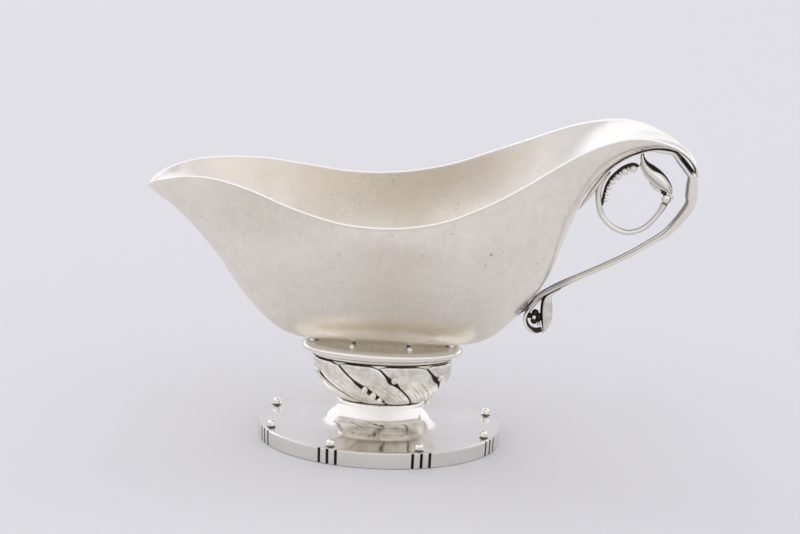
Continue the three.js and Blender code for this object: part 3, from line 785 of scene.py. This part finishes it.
BEAD_SWELL = 1.1
# The ball at the ring's end, the lobe beside it and the dark recess above it:
# [name, radius, centre, slot, nodes].
TENDRIL_BALLS = [
    ("Tendril_ball", 2.0, (104.3, 0, 99.5), "handle_silver", ["tendril_ball"]),
    ("Tendril_ball_lobe", 0.75, (106.2, -0.2, 100.2), "handle_silver", []),
    ("Tendril_ball_recess", 1.35, (103.1, 0.3, 102.4), "oxidised_silver", []),
]
CALYX = [
    (106.1, 101.4, 0.3, 0.7),
    (104.8, 103.4, 1.6, 1.5),
    (102.6, 105.5, 2.6, 2.0),
    (100.1, 107.6, 3.0, 2.2),
    (97.6, 109.7, 2.8, 2.1),
    (95.5, 112.1, 1.9, 1.7),
    (94.6, 114.5, 1.0, 1.2),
    (94.4, 116.4, 0.5, 0.7),
]
CALYX_LEAF = [
    (97.6, 105.4, 0.2, 0.5),
    (99.8, 103.6, 0.75, 1.0),
    (102.6, 101.9, 0.3, 0.6),
]
SCROLL = [
    (59.4, 58.3, 0.45, 1.6),
    (57.1, 56.3, 0.65, 1.8),
    (55.2, 54.0, 0.8, 1.8),
    (54.0, 51.8, 0.9, 1.8),
    (53.7, 49.6, 0.95, 1.8),
    (54.5, 47.3, 1.0, 1.8),
    (56.1, 45.9, 1.0, 1.7),
    (58.1, 45.5, 1.0, 1.5),
    (60.1, 46.1, 0.9, 1.3),
]
VOLUTE_LEAF = [
    (66.6, 62.4, 0.15, 0.5),
    (63.7, 60.8, 0.55, 1.4),
    (61.7, 58.4, 1.7, 2.1),
    (61.5, 53.8, 2.3, 2.4),
    (61.6, 49.4, 1.9, 2.2),
    (61.2, 46.4, 0.9, 1.5),
    (60.7, 44.8, 0.2, 0.5),
]
TAB = [
    (56.2, 57.4, 0.3, 1.7),
    (54.6, 55.2, 0.5, 2.0),
    (52.7, 53.5, 0.45, 2.2),
    (50.6, 51.0, 0.2, 0.6),
]
TAB_PRONG = [
    (55.2, 55.4, 0.3, 1.4),
    (53.8, 53.8, 0.35, 1.2),
    (52.3, 52.4, 0.15, 0.4),
]
# Dark berries of the volute, [x, y, z, radius], the light one in front of them and the small bead below.
VOLUTE_BERRIES = [
    (57.4, 0.0, 52.5, 1.35),
    (58.9, 0.0, 51.2, 1.25),
    (57.1, 0.0, 49.4, 1.35),
    (58.7, 0.2, 49.9, 1.05),
    (55.4, 0.0, 51.3, 1.1),
    (56.6, 0.2, 51.0, 1.1),
]
VOLUTE_LIGHT_BERRY = (57.0, -1.3, 51.1, 0.95)
VOLUTE_BEAD = (58.9, -0.9, 48.4, 0.7)


def add_bar(name, knots, rows, nodes, dark=None, slot="handle_silver", finish=None, **shape):
    """A forged bar.

    dark(t, c) gives its oxidised places: t runs along it, and c from its right, -1, to its left, 1.
    """
    rings = forged_bar(knots, rows, **shape)
    tarnish_and_painted_shade = None
    if dark:
        t = np.linspace(0, 1, rows)[:, None]
        c = np.cos(bar_turns(rings.shape[1]))[None, :]
        tarnish_and_painted_shade = (dark(t, c) + 0 * t * c).reshape(-1)
    verts, faces = loft(rings)
    return add_piece(name, verts, faces, slot, nodes, tarnish_and_painted_shade, finish=finish)


def knot_share(knots, first, last, t):
    """1 between two knots of a bar, fading over a knot's length outside them."""
    at = t * (len(knots) - 1)
    return smooth_step(at - first + 1) * smooth_step(last + 1 - at)


ENGRAVED_AT = -0.62


def strap_section(c, s):
    """An engraved line beside the inner edge."""
    return c, s * (1 - 0.10 * line_at(c, ENGRAVED_AT, 0.22))


def strap_dark(t, c):
    """Painted shadow under the bowl's lip, black at the bowl, a dark engraved line and a brown inner edge."""
    # Painted shadow of the bowl's lip, beside it and under it.
    beside_lip = smooth_step((c - 0.74) / 0.14) * knot_share(STRAP, 4, 13, t)
    under_lip = smooth_step((c - 0.05) / 0.14) * knot_share(STRAP, 12, 13, t)
    engraved = 0.75 * line_at(c, ENGRAVED_AT, 0.16) * knot_share(STRAP, 10, 25, t)
    inner = 0.8 * smooth_step((-c - 0.92) / 0.06)
    brown = 0.62 * smooth_step((-c - 0.62) / 0.08) * knot_share(STRAP, 14, 19, t)
    inner = np.maximum(inner, brown)
    at_bowl = (0.25 + 0.7 * smooth_step((c - 0.4) / 0.15)) * knot_share(STRAP, 25, 30, t)
    return np.maximum(np.maximum(beside_lip, under_lip), np.maximum(engraved, inner)) + at_bowl


def calyx_section(c, s):
    """A rolled lower rim, a shallow leaf and a hollow along its upper side."""
    rim, crease, hollow = line_at(c, 0.72, 0.4), line_at(c, 0.36, 0.2), line_at(c, -0.62, 0.5)
    return c, s * (1 + 0.10 * rim - 0.22 * crease - 0.35 * hollow)


def calyx_dark(t, c):
    """Black in the hollow and beside the stem, and a dark crease."""
    hollow_from = 0.70 - 0.45 * smooth_step((t - 0.35) / 0.25)
    hollow = smooth_step((-c - hollow_from) / 0.14)
    stem = smooth_step((np.abs(c) - 0.55) / 0.2) * smooth_step((t - 0.86) / 0.06)
    return np.maximum(np.maximum(hollow, stem), 0.75 * line_at(c, 0.38, 0.14))


def ring_dark(t, c):
    """A dark line along each side, and one across beside the ball."""
    return np.maximum(0.85 * smooth_step((np.abs(c) - 0.84) / 0.12), 0.8 * line_at(t, 0.965, 0.03))


def make_tendril():
    add_bar("Tendril_ring", TENDRIL, 160, ["tendril_ring"], ring_dark, corner=2.0)
    rail = []
    for x, z, radius in TENDRIL_BEADS:
        out = np.array([x - TENDRIL_MIDDLE[0], z - TENDRIL_MIDDLE[1]])
        out *= (radius + 0.15) / np.linalg.norm(out)
        rail.append((x + out[0], z + out[1], 0.3 + 0.28 * radius, 0.42 * radius))
    rail = [BEAD_BAR_ENDS[0], *rail, BEAD_BAR_ENDS[1]]
    add_bar("Tendril_bead_bar", rail, 120, ["tendril_bead_bar"], slot="oxidised_silver")
    for i, (x, z, radius) in enumerate(TENDRIL_BEADS):
        name = "tendril_bead_%d" % (i + 1)
        add_bead(name.capitalize(), BEAD_SWELL * radius, (x, 0, z), "handle_silver", [name], painted_foot_shadow=0)
    for name, radius, centre, slot, nodes in TENDRIL_BALLS:
        add_bead(name, radius, centre, slot, nodes, painted_foot_shadow=0)
    add_bar("Tendril_calyx", CALYX, 110, ["tendril_calyx"], calyx_dark, section=calyx_section)
    add_bar("Tendril_leaf", CALYX_LEAF, 40, ["tendril_leaf"], finish="leaf_silver")


def volute_leaf_dark(t, c):
    """Black on the side towards the scroll, painted shade in grey on the other."""
    return np.maximum(0.95 * smooth_step((-c - 0.42) / 0.15), 0.5 * smooth_step((c - 0.86) / 0.1)) + 0.10


def scroll_dark(t, c):
    """Black on the side towards the berries, and all over at the end."""
    return 0.97 * smooth_step((c - 0.15 + 0.9 * smooth_step((t - 0.72) / 0.2)) / 0.2)


def make_volute():
    add_bar("Volute_scroll", SCROLL, 90, ["volute_scroll"], scroll_dark)
    add_bar("Volute_leaf", VOLUTE_LEAF, 80, ["volute_leaf"], volute_leaf_dark, finish="leaf_silver")
    add_bar("Solder_tab", TAB, 50, ["solder_tab"], lambda t, c: 0.8 + 0 * c)
    add_bar("Solder_tab_prong", TAB_PRONG, 30, (), lambda t, c: 0.8 + 0 * c)
    for i, (x, y, z, radius) in enumerate(VOLUTE_BERRIES):
        nodes = ["volute_berries"] if i == 0 else []
        add_bead("Volute_berry_%d" % (i + 1), radius, (x, y, z), "oxidised_silver", nodes, painted_foot_shadow=0)
    for name, (x, y, z, radius), nodes in (
        ("Volute_berry_light", VOLUTE_LIGHT_BERRY, []),
        ("Volute_bead", VOLUTE_BEAD, ["volute_bead"]),
    ):
        add_bead(name, radius, (x, y, z), "handle_silver", nodes, painted_foot_shadow=0)


def make_handle():
    add_bar("Handle_strap", STRAP, 360, ["handle_strap"], strap_dark, section=strap_section)
    make_tendril()
    make_volute()


# ---- studio ----
# Camera: angles in degrees, lengths in mm.
CAMERA_TURN = 1.984
CAMERA_TILT = 15.746
CAMERA_ROLL = 2.348
CAMERA_DISTANCE = 1511.6
CAMERA_AIM = (5.488, 0, 67.737)
CAMERA_LENS = 180
SENSOR = 36


def make_camera():
    turn, tilt, roll = (math.radians(a) for a in (CAMERA_TURN, CAMERA_TILT, CAMERA_ROLL))
    back = Vector((math.sin(turn) * math.cos(tilt), -math.cos(turn) * math.cos(tilt), math.sin(tilt)))
    right = Vector((math.cos(turn), math.sin(turn), 0))
    up = back.cross(right)
    side = right * math.cos(roll) + up * math.sin(roll)
    top = up * math.cos(roll) - right * math.sin(roll)
    data = bpy.data.cameras.new("Camera")
    data.lens = CAMERA_LENS
    data.sensor_width = SENSOR
    data.clip_end = 20
    camera = bpy.data.objects.new("Camera", data)
    matrix = Matrix((side, top, back)).transposed().to_4x4()
    matrix.translation = Vector(place([CAMERA_AIM])[0]) + back * (CAMERA_DISTANCE / 1000)
    camera.matrix_world = matrix
    bpy.context.scene.collection.objects.link(camera)
    bpy.context.scene.camera = camera


# Paper sweep, m.
WALL_Y = 4.2
WALL_TOP = 3.2
SWEEP_RADIUS = 1.6
SWEEP_HALF_WIDTH = 4.5
SWEEP_FRONT = -4.0
FLOOR_TINTS = ((0.74, 0.74, 0.775), (0.725, 0.725, 0.76))
# Painted light: the wall's tint, paler than the floor's, fades in between these heights, m.
PAINTED_LIGHT_WALL_TINT = (0.89, 0.89, 0.925)
PAINTED_LIGHT_HEIGHTS = (0.3, 1.1)


def make_sweep():
    """A pale paper sweep: floor, curve and wall in one sheet, the wall made slightly paler by painted light.
    """
    turns = np.linspace(0, math.pi / 2, 24)
    bend = [
        (WALL_Y - SWEEP_RADIUS + SWEEP_RADIUS * math.sin(a), SWEEP_RADIUS - SWEEP_RADIUS * math.cos(a))
        for a in turns
    ]
    outline = [(SWEEP_FRONT, 0.0), *bend, (WALL_Y, WALL_TOP)]
    verts = [(side * SWEEP_HALF_WIDTH, y, z) for y, z in outline for side in (-1, 1)]
    faces = [(2 * i, 2 * i + 1, 2 * i + 3, 2 * i + 2) for i in range(len(outline) - 1)]
    mesh = bpy.data.meshes.new("Paper_sweep")
    mesh.from_pydata(verts, [], faces)
    mesh.polygons.foreach_set("use_smooth", [True] * len(faces))
    mat = bpy.data.materials.new("paper")
    mat.use_nodes = True
    nodes, links = mat.node_tree.nodes, mat.node_tree.links
    grain = nodes.new("ShaderNodeTexNoise")
    grain.inputs["Scale"].default_value = 3
    tint = nodes.new("ShaderNodeMix")
    tint.data_type = "RGBA"
    tint.inputs[6].default_value = (*FLOOR_TINTS[0], 1)
    tint.inputs[7].default_value = (*FLOOR_TINTS[1], 1)
    links.new(grain.outputs["Fac"], tint.inputs["Factor"])
    place_on_sheet = nodes.new("ShaderNodeSeparateXYZ")
    links.new(nodes.new("ShaderNodeTexCoord").outputs["Object"], place_on_sheet.inputs["Vector"])
    upright = nodes.new("ShaderNodeMapRange")
    upright.inputs["From Min"].default_value = PAINTED_LIGHT_HEIGHTS[0]
    upright.inputs["From Max"].default_value = PAINTED_LIGHT_HEIGHTS[1]
    links.new(place_on_sheet.outputs["Z"], upright.inputs["Value"])
    painted_wall_light = nodes.new("ShaderNodeMix")
    painted_wall_light.data_type = "RGBA"
    painted_wall_light.inputs[7].default_value = (*PAINTED_LIGHT_WALL_TINT, 1)
    links.new(upright.outputs["Result"], painted_wall_light.inputs["Factor"])
    links.new(tint.outputs[2], painted_wall_light.inputs[6])
    links.new(painted_wall_light.outputs[2], nodes["Principled BSDF"].inputs["Base Color"])
    nodes["Principled BSDF"].inputs["Roughness"].default_value = 0.9
    mesh.materials.append(mat)
    sweep = bpy.data.objects.new("Paper_sweep", mesh)
    bpy.context.scene.collection.objects.link(sweep)


# Softboxes behind the boat: where, m; size, m; power, W.
SOFTBOXES = {
    "Left_softbox": ((-1.5, 1.1, 0.95), (1.6, 1.0), 3.5),
    "Right_softbox": ((1.7, 1.3, 0.95), (1.0, 0.8), 1.5),
}
SOFTBOX_AIM = (0, 0, 0.06)
SIDE_LIGHT = (0.66, 0.65, 0.67)
FRONT_LIGHT = (0.48, 0.45, 0.43)
BANK_LIGHT = (1.05, 1.04, 1.06)
FRONT_BANK_LIGHT = (0.94, 0.925, 0.935)
TOP_LIGHT = (0.92, 0.91, 0.93)
WORLD_STRENGTH = 1.0


def add_softbox(name, where, size, watts):
    data = bpy.data.lights.new(name, "AREA")
    data.shape = "RECTANGLE"
    data.size, data.size_y = size
    data.energy = watts
    lamp = bpy.data.objects.new(name, data)
    lamp.location = where
    lamp.visible_camera = False
    lamp.rotation_euler = (Vector(SOFTBOX_AIM) - Vector(where)).to_track_quat("-Z", "Y").to_euler()
    bpy.context.scene.collection.objects.link(lamp)


def make_world():
    """Soft surrounding light: dim near the horizon, a bright bank all round, softer in front and overhead."""
    world = bpy.data.worlds.new("Studio")
    world.use_nodes = True
    bpy.context.scene.world = world
    nodes, links = world.node_tree.nodes, world.node_tree.links
    direction = nodes.new("ShaderNodeSeparateXYZ")
    links.new(nodes.new("ShaderNodeTexCoord").outputs["Generated"], direction.inputs["Vector"])

    def ramp(value, low, high):
        node = nodes.new("ShaderNodeMapRange")
        node.interpolation_type = "SMOOTHSTEP"
        node.inputs["From Min"].default_value = low
        node.inputs["From Max"].default_value = high
        links.new(value, node.inputs["Value"])
        return node.outputs["Result"]

    def blend(factor, a, b):
        node = nodes.new("ShaderNodeMix")
        node.data_type = "RGBA"
        links.new(factor, node.inputs["Factor"])
        for socket, value in ((6, a), (7, b)):
            if isinstance(value, tuple):
                node.inputs[socket].default_value = (*value, 1)
            else:
                links.new(value, node.inputs[socket])
        return node.outputs[2]

    y, z = direction.outputs["Y"], direction.outputs["Z"]
    near_horizon = blend(ramp(y, 0.3, -0.8), SIDE_LIGHT, FRONT_LIGHT)
    high = blend(ramp(y, -0.45, -0.9), BANK_LIGHT, FRONT_BANK_LIGHT)
    bank = blend(ramp(z, 0.03, 0.2), near_horizon, high)
    lit = blend(ramp(z, 0.75, 0.92), bank, TOP_LIGHT)
    background = nodes["Background"]
    links.new(lit, background.inputs["Color"])
    background.inputs["Strength"].default_value = WORLD_STRENGTH


def make_light():
    make_world()
    for name, (where, size, watts) in SOFTBOXES.items():
        add_softbox(name, where, size, watts)
    bpy.context.scene.view_settings.view_transform = "Standard"


make_camera()
make_sweep()
make_light()
make_bowl()
make_collar()
make_knop()
make_neck()
make_foot()
make_handle()
